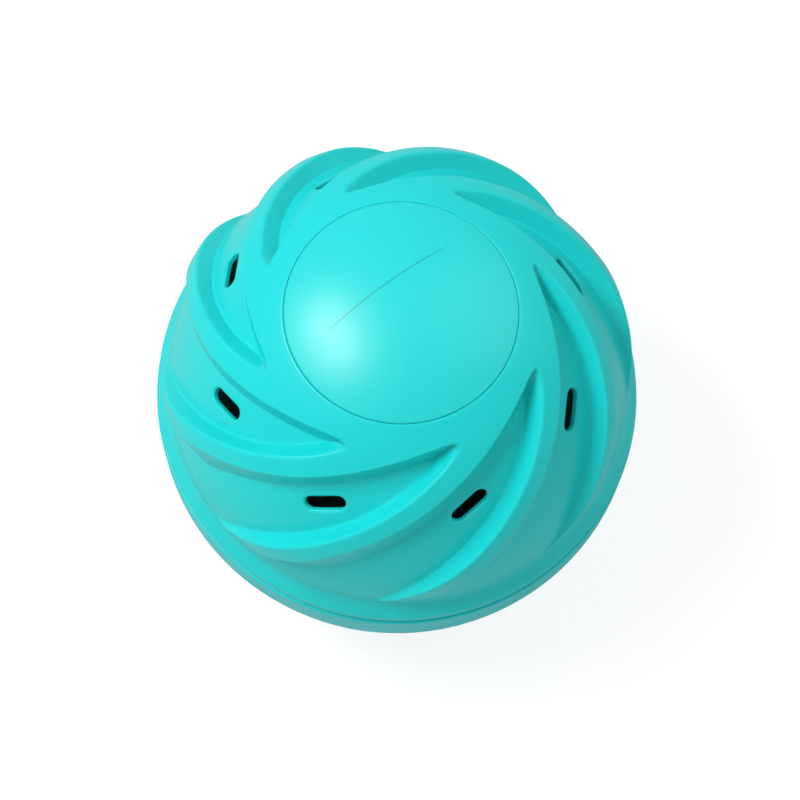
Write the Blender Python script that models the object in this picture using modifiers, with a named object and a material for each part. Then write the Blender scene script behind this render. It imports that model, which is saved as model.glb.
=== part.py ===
"""Laundry ball: two swirl-ribbed shell halves, a cover disc at each pole and loose ceramic beads.

Units are metres. +Z is the polar axis, and the origin is the ball's centre on the parting plane.
Each half is described in its own frame, z up from the parting plane toward its pole.
Turns around the axis are degrees, clockwise as seen from outside the pole.
Polar angles are degrees from the pole, seen from the centre of the half's dome.
"""

import bmesh
import bpy
from math import acos, asin, cos, degrees, exp, pi, radians, sin, sqrt
from mathutils import Matrix, Vector

# Shell halves
CREST_RADIUS = 0.0500
RIB_HEIGHT = 0.0027
WALL = 0.0022
DOME_LIFT = 0.00175
PARTING_GAP = 0.0003
EDGE_ROUND = 0.0003

# Swirl pockets
POCKETS = 8
FIRST_POCKET_AZIMUTH = 158.84
POLE_LAND = 0.0053
EDGE_SLOPE = 0.02
EDGE_CURVE = 0.0040
FLANK_START = 3.0
FLANK_SLOPE = 0.42
FLANK_CURVE = 0.0036
TIP_BULGE = 10.9
TIP_LENGTH = 1.05
FLANK_WIDTH = 2.2
FLANK_SPREAD = 0.009
FLANK_NARROWEST = 58.0
EDGE_BEND = 0.085
EDGE_BEND_START = 72.0
UPPER_POCKET_END = 81.5
LOWER_POCKET_END = 72.0
FADE_LENGTH = 6.0

# Rim of the upper half
RIB_SINK = 0.0027
RIB_SINK_START = 64.0
RIB_SINK_POWER = 2.4
FLARE_FOOT_HEIGHT = 0.0080
FLARE_FOOT_STEP = 0.0003
FLARE_HOLLOW = 0.0005
RIDGE_INSET = 0.0003
RIDGE_HEIGHT = 0.0028
BAND_INSET = 0.0004
BAND_HEIGHT = 0.0023
GROOVE_DEPTH = 0.0003

# Rim of the lower half
SKIRT_INSET = 0.0005

# Spigot of the lower half
SPIGOT_HEIGHT = 0.0050
SPIGOT_WALL = 0.0016
SPIGOT_CLEARANCE = 0.0004
SPIGOT_ROOT = 0.0015
SPIGOT_RAMP = 0.0022
SNAP_HEIGHT = 0.0002
SNAP_LEVEL = 0.0022
SNAP_HALF_WIDTH = 0.0006
LEAD_IN = 0.0003
SOCKET_RELIEF = 0.0006

# Drain slots
SLOT_LENGTH = 0.0083
SLOT_WIDTH = 0.0030
SLOT_POLAR = 50.8
SLOT_TURN = 44.15
SLOT_SLANT = 27.0

# Cover discs
DISC_RADIUS = 0.0218
DISC_THICKNESS = 0.0016
DISC_CLEARANCE = 0.0003
PEG_RADIUS = 0.0030

# Ceramic beads
BEAD_RADIUS = 0.0050
BEAD_CLEARANCE = 0.0003
BEAD_RINGS = (1, 6, 12, 18)

# Facets
POCKET_ROWS = 18
POLE_ROWS = 4
INNER_ROWS = 6
FLARE_ROWS = 4
SECTOR_COLUMNS = 7
SLOT_SEGMENTS = 12
DISC_STEPS = 40
DOME_STEPS = 5

# Sizes that follow from those above
FLOOR_RADIUS = CREST_RADIUS - RIB_HEIGHT
INNER_RADIUS = FLOOR_RADIUS - WALL
SKIRT_RADIUS = CREST_RADIUS - SKIRT_INSET
BAND_RADIUS = SKIRT_RADIUS - BAND_INSET
RIDGE_RADIUS = BAND_RADIUS - RIDGE_INSET
SECTOR = 360.0 / POCKETS
RECESS_RADIUS = DISC_RADIUS + DISC_CLEARANCE
RECESS_FLOOR_RADIUS = CREST_RADIUS - DISC_THICKNESS - DISC_CLEARANCE
PEG_HOLE_RADIUS = PEG_RADIUS + DISC_CLEARANCE
RECESS_POLAR = degrees(asin(RECESS_RADIUS / CREST_RADIUS))
POCKET_START = RECESS_POLAR + degrees(POLE_LAND / CREST_RADIUS)
SPIGOT_RADIUS = INNER_RADIUS - SPIGOT_CLEARANCE
SPIGOT_BORE = SPIGOT_RADIUS - SPIGOT_WALL

TURQUOISE = (0.035, 0.640, 0.640, 1.0)
IVORY = (0.780, 0.720, 0.590, 1.0)
GREY_GREEN = (0.330, 0.370, 0.310, 1.0)
TERRACOTTA = (0.480, 0.190, 0.105, 1.0)


def clear_scene():
    for old in list(bpy.data.objects):
        bpy.data.objects.remove(old, do_unlink=True)


def new_collection(name):
    group = bpy.data.collections.new(name)
    bpy.context.scene.collection.children.link(group)
    return group


def plain_material(name, colour, roughness):
    made = bpy.data.materials.new(name)
    made.use_nodes = True
    shader = made.node_tree.nodes["Principled BSDF"]
    shader.inputs["Base Color"].default_value = colour
    shader.inputs["Roughness"].default_value = roughness
    shader.inputs["Metallic"].default_value = 0.0
    return made


def add_object(name, mesh, group, material=None):
    made = bpy.data.objects.new(name, mesh)
    group.objects.link(made)
    if material is not None and not mesh.materials:
        mesh.materials.append(material)
    return made


def smoothstep(value, start, end):
    t = min(1.0, max(0.0, (value - start) / (end - start)))
    return t * t * (3.0 - 2.0 * t)


def bend(polar):
    """Turn by which both pocket edges swing back beside the rim, growing as the square."""
    return EDGE_BEND * max(0.0, polar - EDGE_BEND_START) ** 2


def wall_edge_turn(polar):
    """Turn of the pole-side crest edge: the root of polar = start + slope * u + curve * u^2."""
    rise = max(0.0, polar - POCKET_START)
    return (sqrt(EDGE_SLOPE ** 2 + 4.0 * EDGE_CURVE * rise) - EDGE_SLOPE) / (2.0 * EDGE_CURVE) - bend(polar)


def wall_edge_polar(turn):
    """Polar angle of the pole-side crest edge at a turn, before the edge swings back."""
    return POCKET_START + EDGE_SLOPE * turn + EDGE_CURVE * turn * turn


def flank_edge_turn(polar):
    """Turn of the rim-side crest edge: the same kind of root, bulged at the tip to round it."""
    rise = polar - POCKET_START
    root = sqrt(max(0.0, FLANK_SLOPE ** 2 + 4.0 * FLANK_CURVE * (rise - FLANK_START)))
    turn = (root - FLANK_SLOPE) / (2.0 * FLANK_CURVE)
    return turn + TIP_BULGE * exp(-rise / TIP_LENGTH) - bend(polar)


def flank_width(polar):
    """Turn taken by the flank that faces the pole, widening away from its narrowest place."""
    return FLANK_WIDTH + FLANK_SPREAD * (polar - FLANK_NARROWEST) ** 2


def crest_radius(polar, upper):
    """Ribs of the upper half sink toward its rim; those of the lower half keep to the sphere."""
    if not upper:
        return CREST_RADIUS
    sunk = min(1.0, max(0.0, (polar - RIB_SINK_START) / (UPPER_POCKET_END - RIB_SINK_START)))
    return CREST_RADIUS - RIB_SINK * sunk ** RIB_SINK_POWER


def floor_radius(polar, upper):
    """Pockets of the upper half run out over its crease; those of the lower half rise to the skirt."""
    if upper:
        return FLOOR_RADIUS
    return FLOOR_RADIUS + RIB_HEIGHT * smoothstep(polar, LOWER_POCKET_END - FADE_LENGTH, LOWER_POCKET_END)


def pocket_radius(polar, turn, upper):
    """Radius inside a pocket: the highest of its floor, its upright wall and its sloping flank.

    The wall stands parallel to the polar axis, so sin(polar) * radius keeps its value at the crest.
    """
    crest = crest_radius(polar, upper)
    floor = floor_radius(polar, upper)
    edge_polar = wall_edge_polar(max(0.0, turn + bend(polar)))
    wall = crest_radius(edge_polar, upper) * sin(radians(edge_polar)) / sin(radians(polar))
    sunk = (turn - flank_edge_turn(polar)) / flank_width(polar)
    flank = crest - (crest - floor) * max(0.0, sunk)
    return min(crest, max(floor, wall, flank))


def pocket_row(polar, upper):
    """One sector of a ring through the pockets: land, flank, floor and wall, as (turn, r, z)."""
    far_edge = wall_edge_turn(polar)
    near_edge = min(far_edge, flank_edge_turn(polar))
    middle = (near_edge + far_edge) / 2.0
    floor = floor_radius(polar, upper)
    foot_polar = degrees(asin(min(1.0, floor * sin(radians(polar)) / CREST_RADIUS)))
    far_foot = wall_edge_turn(foot_polar) + bend(foot_polar) - bend(polar)
    near_foot = min(middle, near_edge + flank_width(polar))
    far_foot = min(far_edge, max(middle, far_foot))
    land_start = far_edge - SECTOR
    floor_step = (far_foot - near_foot) / 3.0
    crest_turns = [land_start, (land_start + near_edge) / 2.0, near_edge]
    pocket_turns = [near_foot, near_foot + floor_step, far_foot - floor_step, far_foot]
    row = [(turn, crest_radius(polar, upper)) for turn in crest_turns]
    row += [(turn, pocket_radius(polar, turn, upper)) for turn in pocket_turns]
    return [dome_point(turn, radius, polar) for turn, radius in row]


def dome_point(turn, radius, polar):
    return (turn, radius * sin(radians(polar)), DOME_LIFT + radius * cos(radians(polar)))


def even_row(first_turn, r, z):
    """One sector of a plain ring, its columns evenly spaced from first_turn."""
    return [(first_turn + SECTOR * j / SECTOR_COLUMNS, r, z) for j in range(SECTOR_COLUMNS)]


def even_dome_row(first_turn, radius, polar):
    _, r, z = dome_point(0.0, radius, polar)
    return even_row(first_turn, r, z)


def dome_height(radius, r):
    return DOME_LIFT + sqrt(radius ** 2 - r ** 2)


def upper_rim(turn):
    """Plain rings of the upper half's rim: hollow flare, ridge, upright band, groove, socket mouth."""
    crease_r = FLOOR_RADIUS * sin(radians(UPPER_POCKET_END)) + FLARE_FOOT_STEP
    rings = []
    for i in range(FLARE_ROWS):
        share = i / FLARE_ROWS
        r = crease_r + (RIDGE_RADIUS - crease_r) * share - 4.0 * FLARE_HOLLOW * share * (1.0 - share)
        rings.append((r, FLARE_FOOT_HEIGHT + (RIDGE_HEIGHT - FLARE_FOOT_HEIGHT) * share))
    rings += [
        (RIDGE_RADIUS, RIDGE_HEIGHT),
        (BAND_RADIUS, BAND_HEIGHT),
        (BAND_RADIUS, PARTING_GAP / 2.0 + EDGE_ROUND),
        (BAND_RADIUS - GROOVE_DEPTH, PARTING_GAP / 2.0),
        (INNER_RADIUS + LEAD_IN, PARTING_GAP / 2.0),
        (INNER_RADIUS, PARTING_GAP / 2.0 + LEAD_IN),
        (INNER_RADIUS, SPIGOT_HEIGHT + SOCKET_RELIEF),
    ]
    return [even_row(turn, r, z) for r, z in rings]


def lower_rim(turn):
    """Plain rings of the lower half's rim: smooth skirt, groove, then the spigot with its snap ring.

    The skirt is upright from the parting plane to where the dome has narrowed to its radius.
    """
    ramp_top = SPIGOT_ROOT + SPIGOT_RAMP
    skirt_top_polar = degrees(asin(SKIRT_RADIUS / CREST_RADIUS))
    middle_polar = radians((LOWER_POCKET_END + skirt_top_polar) / 2.0)
    rings = [
        (CREST_RADIUS * sin(middle_polar), DOME_LIFT + CREST_RADIUS * cos(middle_polar)),
        (SKIRT_RADIUS, dome_height(CREST_RADIUS, SKIRT_RADIUS)),
        (SKIRT_RADIUS, PARTING_GAP / 2.0 + EDGE_ROUND),
        (SKIRT_RADIUS - GROOVE_DEPTH, PARTING_GAP / 2.0),
        (SPIGOT_RADIUS, PARTING_GAP / 2.0),
        (SPIGOT_RADIUS, SNAP_HALF_WIDTH - SNAP_LEVEL),
        (SPIGOT_RADIUS + SNAP_HEIGHT, -SNAP_LEVEL),
        (SPIGOT_RADIUS, -SNAP_HALF_WIDTH - SNAP_LEVEL),
        (SPIGOT_RADIUS, LEAD_IN - SPIGOT_HEIGHT),
        (SPIGOT_RADIUS - LEAD_IN, -SPIGOT_HEIGHT),
        (SPIGOT_BORE, -SPIGOT_HEIGHT),
        (SPIGOT_BORE, SPIGOT_ROOT),
        (sqrt(INNER_RADIUS ** 2 - (ramp_top - DOME_LIFT) ** 2), ramp_top),
    ]
    return [even_row(turn, r, z) for r, z in rings]


def shell_rings(upper):
    """All rings of one half, down the outside from the disc recess and back up the inside."""
    pole_turn = wall_edge_turn(POCKET_START) - SECTOR
    rings = [even_row(pole_turn, RECESS_RADIUS, dome_height(CREST_RADIUS, RECESS_RADIUS) - EDGE_ROUND)]
    for i in range(POLE_ROWS):
        polar = RECESS_POLAR + degrees(EDGE_ROUND / CREST_RADIUS)
        polar += (POCKET_START - polar) * i / POLE_ROWS
        rings.append(even_dome_row(pole_turn, CREST_RADIUS, polar))
    pocket_end = UPPER_POCKET_END if upper else LOWER_POCKET_END
    for i in range(POCKET_ROWS + 1):
        polar = POCKET_START + (pocket_end - POCKET_START) * (i / POCKET_ROWS) ** 1.7
        rings.append(pocket_row(polar, upper))
    rim_turn = rings[-1][0][0]
    rings += upper_rim(rim_turn) if upper else lower_rim(rim_turn)

    sectors_turned = round((rim_turn - pole_turn) / SECTOR)
    inner_end_turn = pole_turn + SECTOR * sectors_turned
    first_polar = degrees(acos((rings[-1][0][2] - DOME_LIFT) / INNER_RADIUS))
    last_polar = degrees(asin(PEG_HOLE_RADIUS / INNER_RADIUS))
    for i in range(1, INNER_ROWS + 1):
        share = i / INNER_ROWS
        turn = rim_turn + (inner_end_turn - rim_turn) * share
        polar = first_polar + (last_polar - first_polar) * share
        rings.append(even_dome_row(turn, INNER_RADIUS, polar))
    hole_top = dome_height(RECESS_FLOOR_RADIUS, PEG_HOLE_RADIUS)
    rings.append(even_row(inner_end_turn, PEG_HOLE_RADIUS, hole_top))
    middle_r = (PEG_HOLE_RADIUS + RECESS_RADIUS) / 2.0
    rings.append(even_row(inner_end_turn, middle_r, dome_height(RECESS_FLOOR_RADIUS, middle_r)))
    rings.append(even_row(inner_end_turn, RECESS_RADIUS, dome_height(RECESS_FLOOR_RADIUS, RECESS_RADIUS)))
    return rings, sectors_turned


def shell_mesh(name, upper):
    """Closed loft through the rings of one half, the last ring joined back to the first."""
    rings, sectors_turned = shell_rings(upper)
    columns = POCKETS * SECTOR_COLUMNS
    bm = bmesh.new()
    grid = []
    for ring in rings:
        line = []
        for sector in range(POCKETS):
            for turn, r, z in ring:
                azimuth = radians(FIRST_POCKET_AZIMUTH - turn - SECTOR * sector)
                line.append(bm.verts.new((r * cos(azimuth), r * sin(azimuth), z)))
        grid.append(line)
    for i, line in enumerate(grid):
        closing = i == len(grid) - 1
        following = grid[0] if closing else grid[i + 1]
        shift = sectors_turned * SECTOR_COLUMNS if closing else 0
        for j in range(columns):
            a = line[j]
            b = line[(j + 1) % columns]
            c = following[(j + 1 + shift) % columns]
            d = following[(j + shift) % columns]
            bm.faces.new((a, b, c, d))
    bmesh.ops.recalc_face_normals(bm, faces=bm.faces)
    bmesh.ops.triangulate(bm, faces=bm.faces, quad_method="SHORT_EDGE")
    mesh = bpy.data.meshes.new(name)
    bm.to_mesh(mesh)
    bm.free()
    mesh.shade_smooth()
    mesh.set_sharp_from_angle(angle=radians(32.0))
    return mesh


def slot_cutter_mesh():
    """Eight obround prisms pointing at the dome's centre, one through each pocket floor.

    Each is a cylinder whose two halves are drawn apart, tipped over to its polar angle and then spun
    to its place round the axis.
    """
    bm = bmesh.new()
    middle_radius = FLOOR_RADIUS - WALL / 2.0
    half_straight = (SLOT_LENGTH - SLOT_WIDTH) / 2.0
    tip = Matrix.Rotation(radians(SLOT_POLAR), 4, "Y")
    slant = Matrix.Rotation(radians(SLOT_SLANT), 4, "Z")
    for sector in range(POCKETS):
        made = bmesh.ops.create_cone(
            bm,
            cap_ends=True,
            segments=SLOT_SEGMENTS,
            radius1=SLOT_WIDTH / 2.0,
            radius2=SLOT_WIDTH / 2.0,
            depth=WALL + RIB_HEIGHT,
            matrix=Matrix.Rotation(pi / SLOT_SEGMENTS, 4, "Z"),
        )
        spin = Matrix.Rotation(radians(FIRST_POCKET_AZIMUTH - SLOT_TURN - SECTOR * sector), 4, "Z")
        for vert in made["verts"]:
            vert.co.x += half_straight if vert.co.x > 0.0 else -half_straight
            drawn = slant @ vert.co
            standing = tip @ Vector((drawn.y, -drawn.x, drawn.z + middle_radius))
            vert.co = spin @ (standing + Vector((0.0, 0.0, DOME_LIFT)))
    mesh = bpy.data.meshes.new("slot_cutters")
    bm.to_mesh(mesh)
    bm.free()
    return mesh


def cut_slots(shell, cutter):
    cut = shell.modifiers.new("drain_slots", "BOOLEAN")
    cut.operation = "DIFFERENCE"
    cut.solver = "EXACT"
    cut.object = cutter


def disc_profile():
    """Half outline of a cover disc: domed face, edge, underside, peg down to the shell's inside."""
    under_radius = CREST_RADIUS - DISC_THICKNESS
    rim_polar = asin((DISC_RADIUS - EDGE_ROUND) / CREST_RADIUS)
    points = []
    for i in range(DOME_STEPS + 1):
        polar = rim_polar * i / DOME_STEPS
        points.append((CREST_RADIUS * sin(polar), DOME_LIFT + CREST_RADIUS * cos(polar)))
    points += [
        (DISC_RADIUS, dome_height(CREST_RADIUS, DISC_RADIUS) - EDGE_ROUND),
        (DISC_RADIUS, dome_height(under_radius, DISC_RADIUS)),
        (DISC_RADIUS / 2.0, dome_height(under_radius, DISC_RADIUS / 2.0)),
        (PEG_RADIUS, dome_height(under_radius, PEG_RADIUS)),
        (PEG_RADIUS, dome_height(INNER_RADIUS, PEG_RADIUS) + EDGE_ROUND),
        (PEG_RADIUS - EDGE_ROUND, dome_height(INNER_RADIUS, PEG_RADIUS)),
        (0.0, dome_height(INNER_RADIUS, PEG_RADIUS)),
    ]
    return points


def disc_mesh():
    points = disc_profile()
    mesh = bpy.data.meshes.new("cover_disc")
    edges = [(i, i + 1) for i in range(len(points) - 1)]
    mesh.from_pydata([(r, 0.0, z) for r, z in points], edges, [])
    return mesh


def turn_profile(body):
    screw = body.modifiers.new("turned", "SCREW")
    screw.axis = "Z"
    screw.angle = 2.0 * pi
    screw.steps = DISC_STEPS
    screw.render_steps = DISC_STEPS
    screw.use_merge_vertices = True
    screw.merge_threshold = 0.00001


def bead_mesh(name):
    bm = bmesh.new()
    bmesh.ops.create_icosphere(bm, subdivisions=2, radius=BEAD_RADIUS)
    mesh = bpy.data.meshes.new(name)
    bm.to_mesh(mesh)
    bm.free()
    mesh.shade_smooth()
    return mesh


def bead_places():
    """Bead centres in rings on the lower bowl, each ring as wide as its beads need side by side."""
    carpet_radius = INNER_RADIUS - BEAD_RADIUS - BEAD_CLEARANCE
    places = []
    for ring, count in enumerate(BEAD_RINGS):
        r = 0.0
        if count > 1:
            r = (BEAD_RADIUS + BEAD_CLEARANCE / 2.0) / sin(pi / count)
        for i in range(count):
            azimuth = 2.0 * pi * (i + 0.5 * (ring % 2)) / count
            height = -DOME_LIFT - sqrt(carpet_radius ** 2 - r ** 2)
            places.append((r * cos(azimuth), r * sin(azimuth), height))
    return places


clear_scene()
ball = new_collection("laundry_ball")
cutters = new_collection("laundry_ball_cutters")
turned_over = Matrix.Rotation(pi, 4, "X")

plastic = plain_material("turquoise_plastic", TURQUOISE, 0.32)
disc_plastic = plain_material("turquoise_disc_plastic", TURQUOISE, 0.36)
bead_kinds = [
    plain_material("ivory_ceramic", IVORY, 0.7),
    plain_material("grey_green_ceramic", GREY_GREEN, 0.75),
    plain_material("terracotta_ceramic", TERRACOTTA, 0.8),
]

slot_mesh = slot_cutter_mesh()
for half_name, is_upper in (("upper_shell", True), ("lower_shell", False)):
    half = add_object(half_name, shell_mesh(half_name, is_upper), ball, plastic)
    slots = add_object(half_name + "_slot_cutters", slot_mesh, cutters)
    slots.hide_render = True
    slots.display_type = "WIRE"
    if not is_upper:
        half.matrix_world = turned_over
        slots.matrix_world = turned_over
    cut_slots(half, slots)

cover_mesh = disc_mesh()
for disc_name, disc_place in (("top_disc", Matrix.Identity(4)), ("bottom_disc", turned_over)):
    disc = add_object(disc_name, cover_mesh, ball, disc_plastic)
    disc.matrix_world = disc_place
    turn_profile(disc)

bead_meshes = []
for kind in bead_kinds:
    bead = bead_mesh(kind.name + "_bead")
    bead.materials.append(kind)
    bead_meshes.append(bead)
for number, place in enumerate(bead_places(), start=1):
    made_bead = add_object(f"ceramic_bead_{number:02d}", bead_meshes[number % len(bead_meshes)], ball)
    made_bead.location = place
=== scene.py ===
import bmesh
import bpy
import numpy as np
from mathutils import Matrix, Vector


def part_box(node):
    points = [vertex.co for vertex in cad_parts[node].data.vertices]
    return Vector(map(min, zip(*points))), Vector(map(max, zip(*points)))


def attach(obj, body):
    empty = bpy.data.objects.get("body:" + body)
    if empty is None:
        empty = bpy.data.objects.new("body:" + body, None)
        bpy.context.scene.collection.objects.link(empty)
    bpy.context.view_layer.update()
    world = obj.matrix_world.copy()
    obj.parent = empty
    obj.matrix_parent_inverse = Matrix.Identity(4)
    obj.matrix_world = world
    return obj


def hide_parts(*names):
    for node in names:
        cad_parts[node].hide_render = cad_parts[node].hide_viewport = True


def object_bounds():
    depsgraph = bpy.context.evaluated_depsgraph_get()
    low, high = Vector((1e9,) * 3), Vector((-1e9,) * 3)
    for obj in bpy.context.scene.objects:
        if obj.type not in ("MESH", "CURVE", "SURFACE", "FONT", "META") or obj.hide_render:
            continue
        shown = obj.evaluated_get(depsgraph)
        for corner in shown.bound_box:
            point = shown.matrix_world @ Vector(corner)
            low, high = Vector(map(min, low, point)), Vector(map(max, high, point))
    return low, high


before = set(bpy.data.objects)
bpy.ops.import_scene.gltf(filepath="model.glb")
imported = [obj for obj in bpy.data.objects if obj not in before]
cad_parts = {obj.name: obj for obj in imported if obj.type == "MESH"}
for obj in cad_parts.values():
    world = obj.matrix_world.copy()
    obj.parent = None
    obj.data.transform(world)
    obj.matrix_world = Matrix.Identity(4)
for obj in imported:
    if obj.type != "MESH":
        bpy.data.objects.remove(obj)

cad_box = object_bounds()


# Lower shell half
# A bowl injection-moulded in turquoise polypropylene, with eight swirling pockets between raised ribs.
# A thin spigot with a snap ring stands up from its mouth and holds the upper half.

CREST_RADIUS = 0.0500
FLOOR_RADIUS = 0.0461
INNER_RADIUS = 0.0451
DOME_LIFT = 0.00175
EDGE_ROUND = 0.0003
RECESS_RADIUS = 0.0221
RECESS_FLOOR_RADIUS = 0.0481
RECESS_POLAR = np.degrees(np.arcsin(RECESS_RADIUS / CREST_RADIUS))
PEG_HOLE_RADIUS = 0.0033
DEGREE_ARC = np.radians(CREST_RADIUS)

POCKETS = 8
SECTOR = 360.0 / POCKETS
FIRST_POCKET_AZIMUTH = 158.84
TIP_MARGIN = 0.0053
POCKET_START = RECESS_POLAR + np.degrees(TIP_MARGIN / CREST_RADIUS)
UPPER_POCKET_END = 84.5
LOWER_POCKET_END = 72.0


def smooth_step(value, start, end):
    """Ease from 0 at start to 1 at end: 3 s^2 - 2 s^3."""
    share = np.clip((value - start) / (end - start), 0.0, 1.0)
    return share * share * (3.0 - 2.0 * share)


WALL_SLOPE = 0.02
WALL_CURVE = 0.004
WALL_LAG = 1.4
WALL_LAG_START = 60.0
WALL_LAG_END = 69.0
WALL_UPRIGHT_END = 62.0
WALL_SPREAD = 1.1
WALL_EDGE_ROUND = 0.0003
WALL_FOOT_ROUND = 0.0011


def wall_lag(polar):
    """Turn by which the wall's edge falls behind its root beside the rim."""
    return WALL_LAG * smooth_step(polar, WALL_LAG_START, WALL_LAG_END)


def wall_edge_turn(polar):
    """Turn u of the crest edge over the upright wall: the root of polar = start + slope u + curve u^2, less
    the lag."""
    rise = np.maximum(0.0, polar - POCKET_START)
    root = np.sqrt(WALL_SLOPE ** 2 + 4.0 * WALL_CURVE * rise)
    return (root - WALL_SLOPE) / (2.0 * WALL_CURVE) - wall_lag(polar)


def wall_fall(edge_polar, depth):
    """How far out along the dome a wall's foot lies from its edge. The wall stands parallel to the polar
    axis, so depth * tan(polar) and a tenth more for the dome's curve. Past the upright end, the lean that
    the wall has there against the dome stays."""
    return WALL_SPREAD * depth * np.tan(np.radians(np.minimum(edge_polar, WALL_UPRIGHT_END)))


FLANK_START = 3.0
FLANK_SLOPE = 0.42
FLANK_CURVE = 0.0036
FLANK_WIDTH = 1.1
FLANK_WIDENING = 0.009
FLANK_WIDER_ABOVE = 58.0
FLANK_EDGE_ROUND = 0.0007
FLANK_FOOT_ROUND = 0.0005
TIP_BULGE = 10.9
TIP_DECAY = 1.05
TIP_REACH = 2.0


def flank_root(polar, least):
    """Square root of slope^2 + 4 * curve * rise, counted from where the flank's edge starts, the square
    being held at a least value."""
    rise = polar - POCKET_START - FLANK_START
    return np.sqrt(np.maximum(least, FLANK_SLOPE ** 2 + 4.0 * FLANK_CURVE * rise))


def tip_decay(polar):
    """Exponential that dies away from the pocket's tip: e^(-rise / decay), level before the tip's reach."""
    return np.exp(-np.maximum(polar - POCKET_START, -TIP_REACH) / TIP_DECAY)


def flank_edge_turn(polar):
    """Turn of the crest edge over the steep flank: a like root, bulged by an exponential at the tip."""
    return (flank_root(polar, 0.0) - FLANK_SLOPE) / (2.0 * FLANK_CURVE) + TIP_BULGE * tip_decay(polar)


def flank_width(polar):
    """Turn taken by the flank, widening as a square toward the pole."""
    return FLANK_WIDTH + FLANK_WIDENING * np.maximum(0.0, FLANK_WIDER_ABOVE - polar) ** 2


CREST_SINK = 0.0032
CREST_SINK_START = 64.0
CREST_SINK_POWER = 1.6
FLOOR_CLIMB = 0.0007
FLOOR_CLIMB_START = 56.0
LOWER_FADE = 6.0


def crest_radius(polar, upper):
    """Radius of the rib crests: level in the lower half, sinking as a power toward the upper rim."""
    if not upper:
        return np.full_like(polar, CREST_RADIUS)
    sunk = np.clip((polar - CREST_SINK_START) / (UPPER_POCKET_END - CREST_SINK_START), 0.0, 1.0)
    return CREST_RADIUS - CREST_SINK * sunk ** CREST_SINK_POWER


def floor_radius(polar, upper):
    """Radius of the pocket floors: climbing a little toward the upper rim, or up to the lower skirt."""
    if upper:
        return FLOOR_RADIUS + FLOOR_CLIMB * smooth_step(polar, FLOOR_CLIMB_START, UPPER_POCKET_END)
    fade = smooth_step(polar, LOWER_POCKET_END - LOWER_FADE, LOWER_POCKET_END)
    return FLOOR_RADIUS + (CREST_RADIUS - FLOOR_RADIUS) * fade


def round_hollow(first, second, width):
    """The higher of two surfaces, filleted where they cross: max + width / 4 * (1 - gap / width)^2."""
    near = np.maximum(0.0, 1.0 - np.abs(first - second) / width)
    return np.maximum(first, second) + near * near * width / 4.0


def round_edge(first, second, width):
    """The lower of two surfaces, rounded over where they cross: min - width / 4 * (1 - gap / width)^2."""
    near = np.maximum(0.0, 1.0 - np.abs(first - second) / width)
    return np.minimum(first, second) - near * near * width / 4.0


ROUNDS_SHARE = 0.98


def stepped_side(distance, run, depth, edge_round, foot_round):
    """Height above a pocket's floor of one of its sides, at a distance out from its crest edge: level at
    depth, over the edge on a circle, straight down to the foot at run, and into the floor on a second
    circle. A circle of radius R touches both straights at R * tan(angle / 2) from their corner. Both
    circles shrink together where the side is too short for them."""
    angle = np.arctan2(depth, run)
    touch = np.tan(angle / 2.0)
    room = np.minimum(1.0, ROUNDS_SHARE * np.hypot(depth, run) / ((edge_round + foot_round) * touch))
    edge_round = edge_round * room
    foot_round = foot_round * room
    straight = depth * (1.0 - distance / run)
    past_edge = np.clip(distance + edge_round * touch, 0.0, edge_round * np.sin(angle))
    over = depth - edge_round + np.sqrt(edge_round ** 2 - past_edge ** 2)
    to_foot = np.clip(run + foot_round * touch - distance, 0.0, foot_round * np.sin(angle))
    into = foot_round - np.sqrt(foot_round ** 2 - to_foot ** 2)
    on_edge = distance < edge_round * (np.sin(angle) - touch)
    on_foot = distance > run + foot_round * (touch - np.sin(angle))
    return np.where(on_edge, over, np.where(on_foot, into, straight))


LEAST_DEPTH = 0.00001
LEAST_ROOT_SQUARE = 0.13
HOLLOW_WIDTH = 0.0003
TIP_HOLLOW_WIDTH = 0.0024
TIP_HOLLOW_DECAY = 0.8


def one_pocket(polar, turn, upper):
    """Radius of the dome with one pocket sunk into it: its floor plus the higher of its upright wall and
    its steep flank, which meet in a hollow that widens as an exponential toward the pocket's blunt tip.
    Each side is a stepped side of the distance f / |slope of f| from its own crest edge, where f is the
    difference in polar angle from the wall's edge or in turn from the flank's."""
    crest = crest_radius(polar, upper)
    depth = np.maximum(crest - floor_radius(polar, upper), LEAST_DEPTH)
    ring_sine = np.sin(np.radians(polar))

    edge_turn = np.maximum(0.0, turn + wall_lag(polar))
    edge_polar = POCKET_START + WALL_SLOPE * edge_turn + WALL_CURVE * edge_turn ** 2
    edge_slope = (WALL_SLOPE + 2.0 * WALL_CURVE * edge_turn) / ring_sine
    square = 1.0 / np.sqrt(1.0 + edge_slope ** 2)
    wall_distance = (polar - edge_polar) * DEGREE_ARC * square
    wall_run = wall_fall(edge_polar, depth) * square
    wall = stepped_side(wall_distance, wall_run, depth, WALL_EDGE_ROUND, WALL_FOOT_ROUND)

    turn_slope = 1.0 / flank_root(polar, LEAST_ROOT_SQUARE) - TIP_BULGE / TIP_DECAY * tip_decay(polar)
    turn_length = DEGREE_ARC / np.sqrt(1.0 / ring_sine ** 2 + turn_slope ** 2)
    flank_distance = (turn - flank_edge_turn(polar)) * turn_length
    flank_run = flank_width(polar) * turn_length
    flank = stepped_side(flank_distance, flank_run, depth, FLANK_EDGE_ROUND, FLANK_FOOT_ROUND)

    past_tip = np.maximum(polar - POCKET_START, 0.0)
    hollow = HOLLOW_WIDTH + TIP_HOLLOW_WIDTH * np.exp(-past_tip / TIP_HOLLOW_DECAY)
    return crest - depth + np.minimum(depth, round_hollow(wall, flank, hollow))


def ribbed_radius(polar, turn, upper):
    """Radius of the ribbed dome: the lower of the pocket at this turn and the one before it."""
    return np.minimum(one_pocket(polar, turn, upper), one_pocket(polar, turn + SECTOR, upper))


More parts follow.
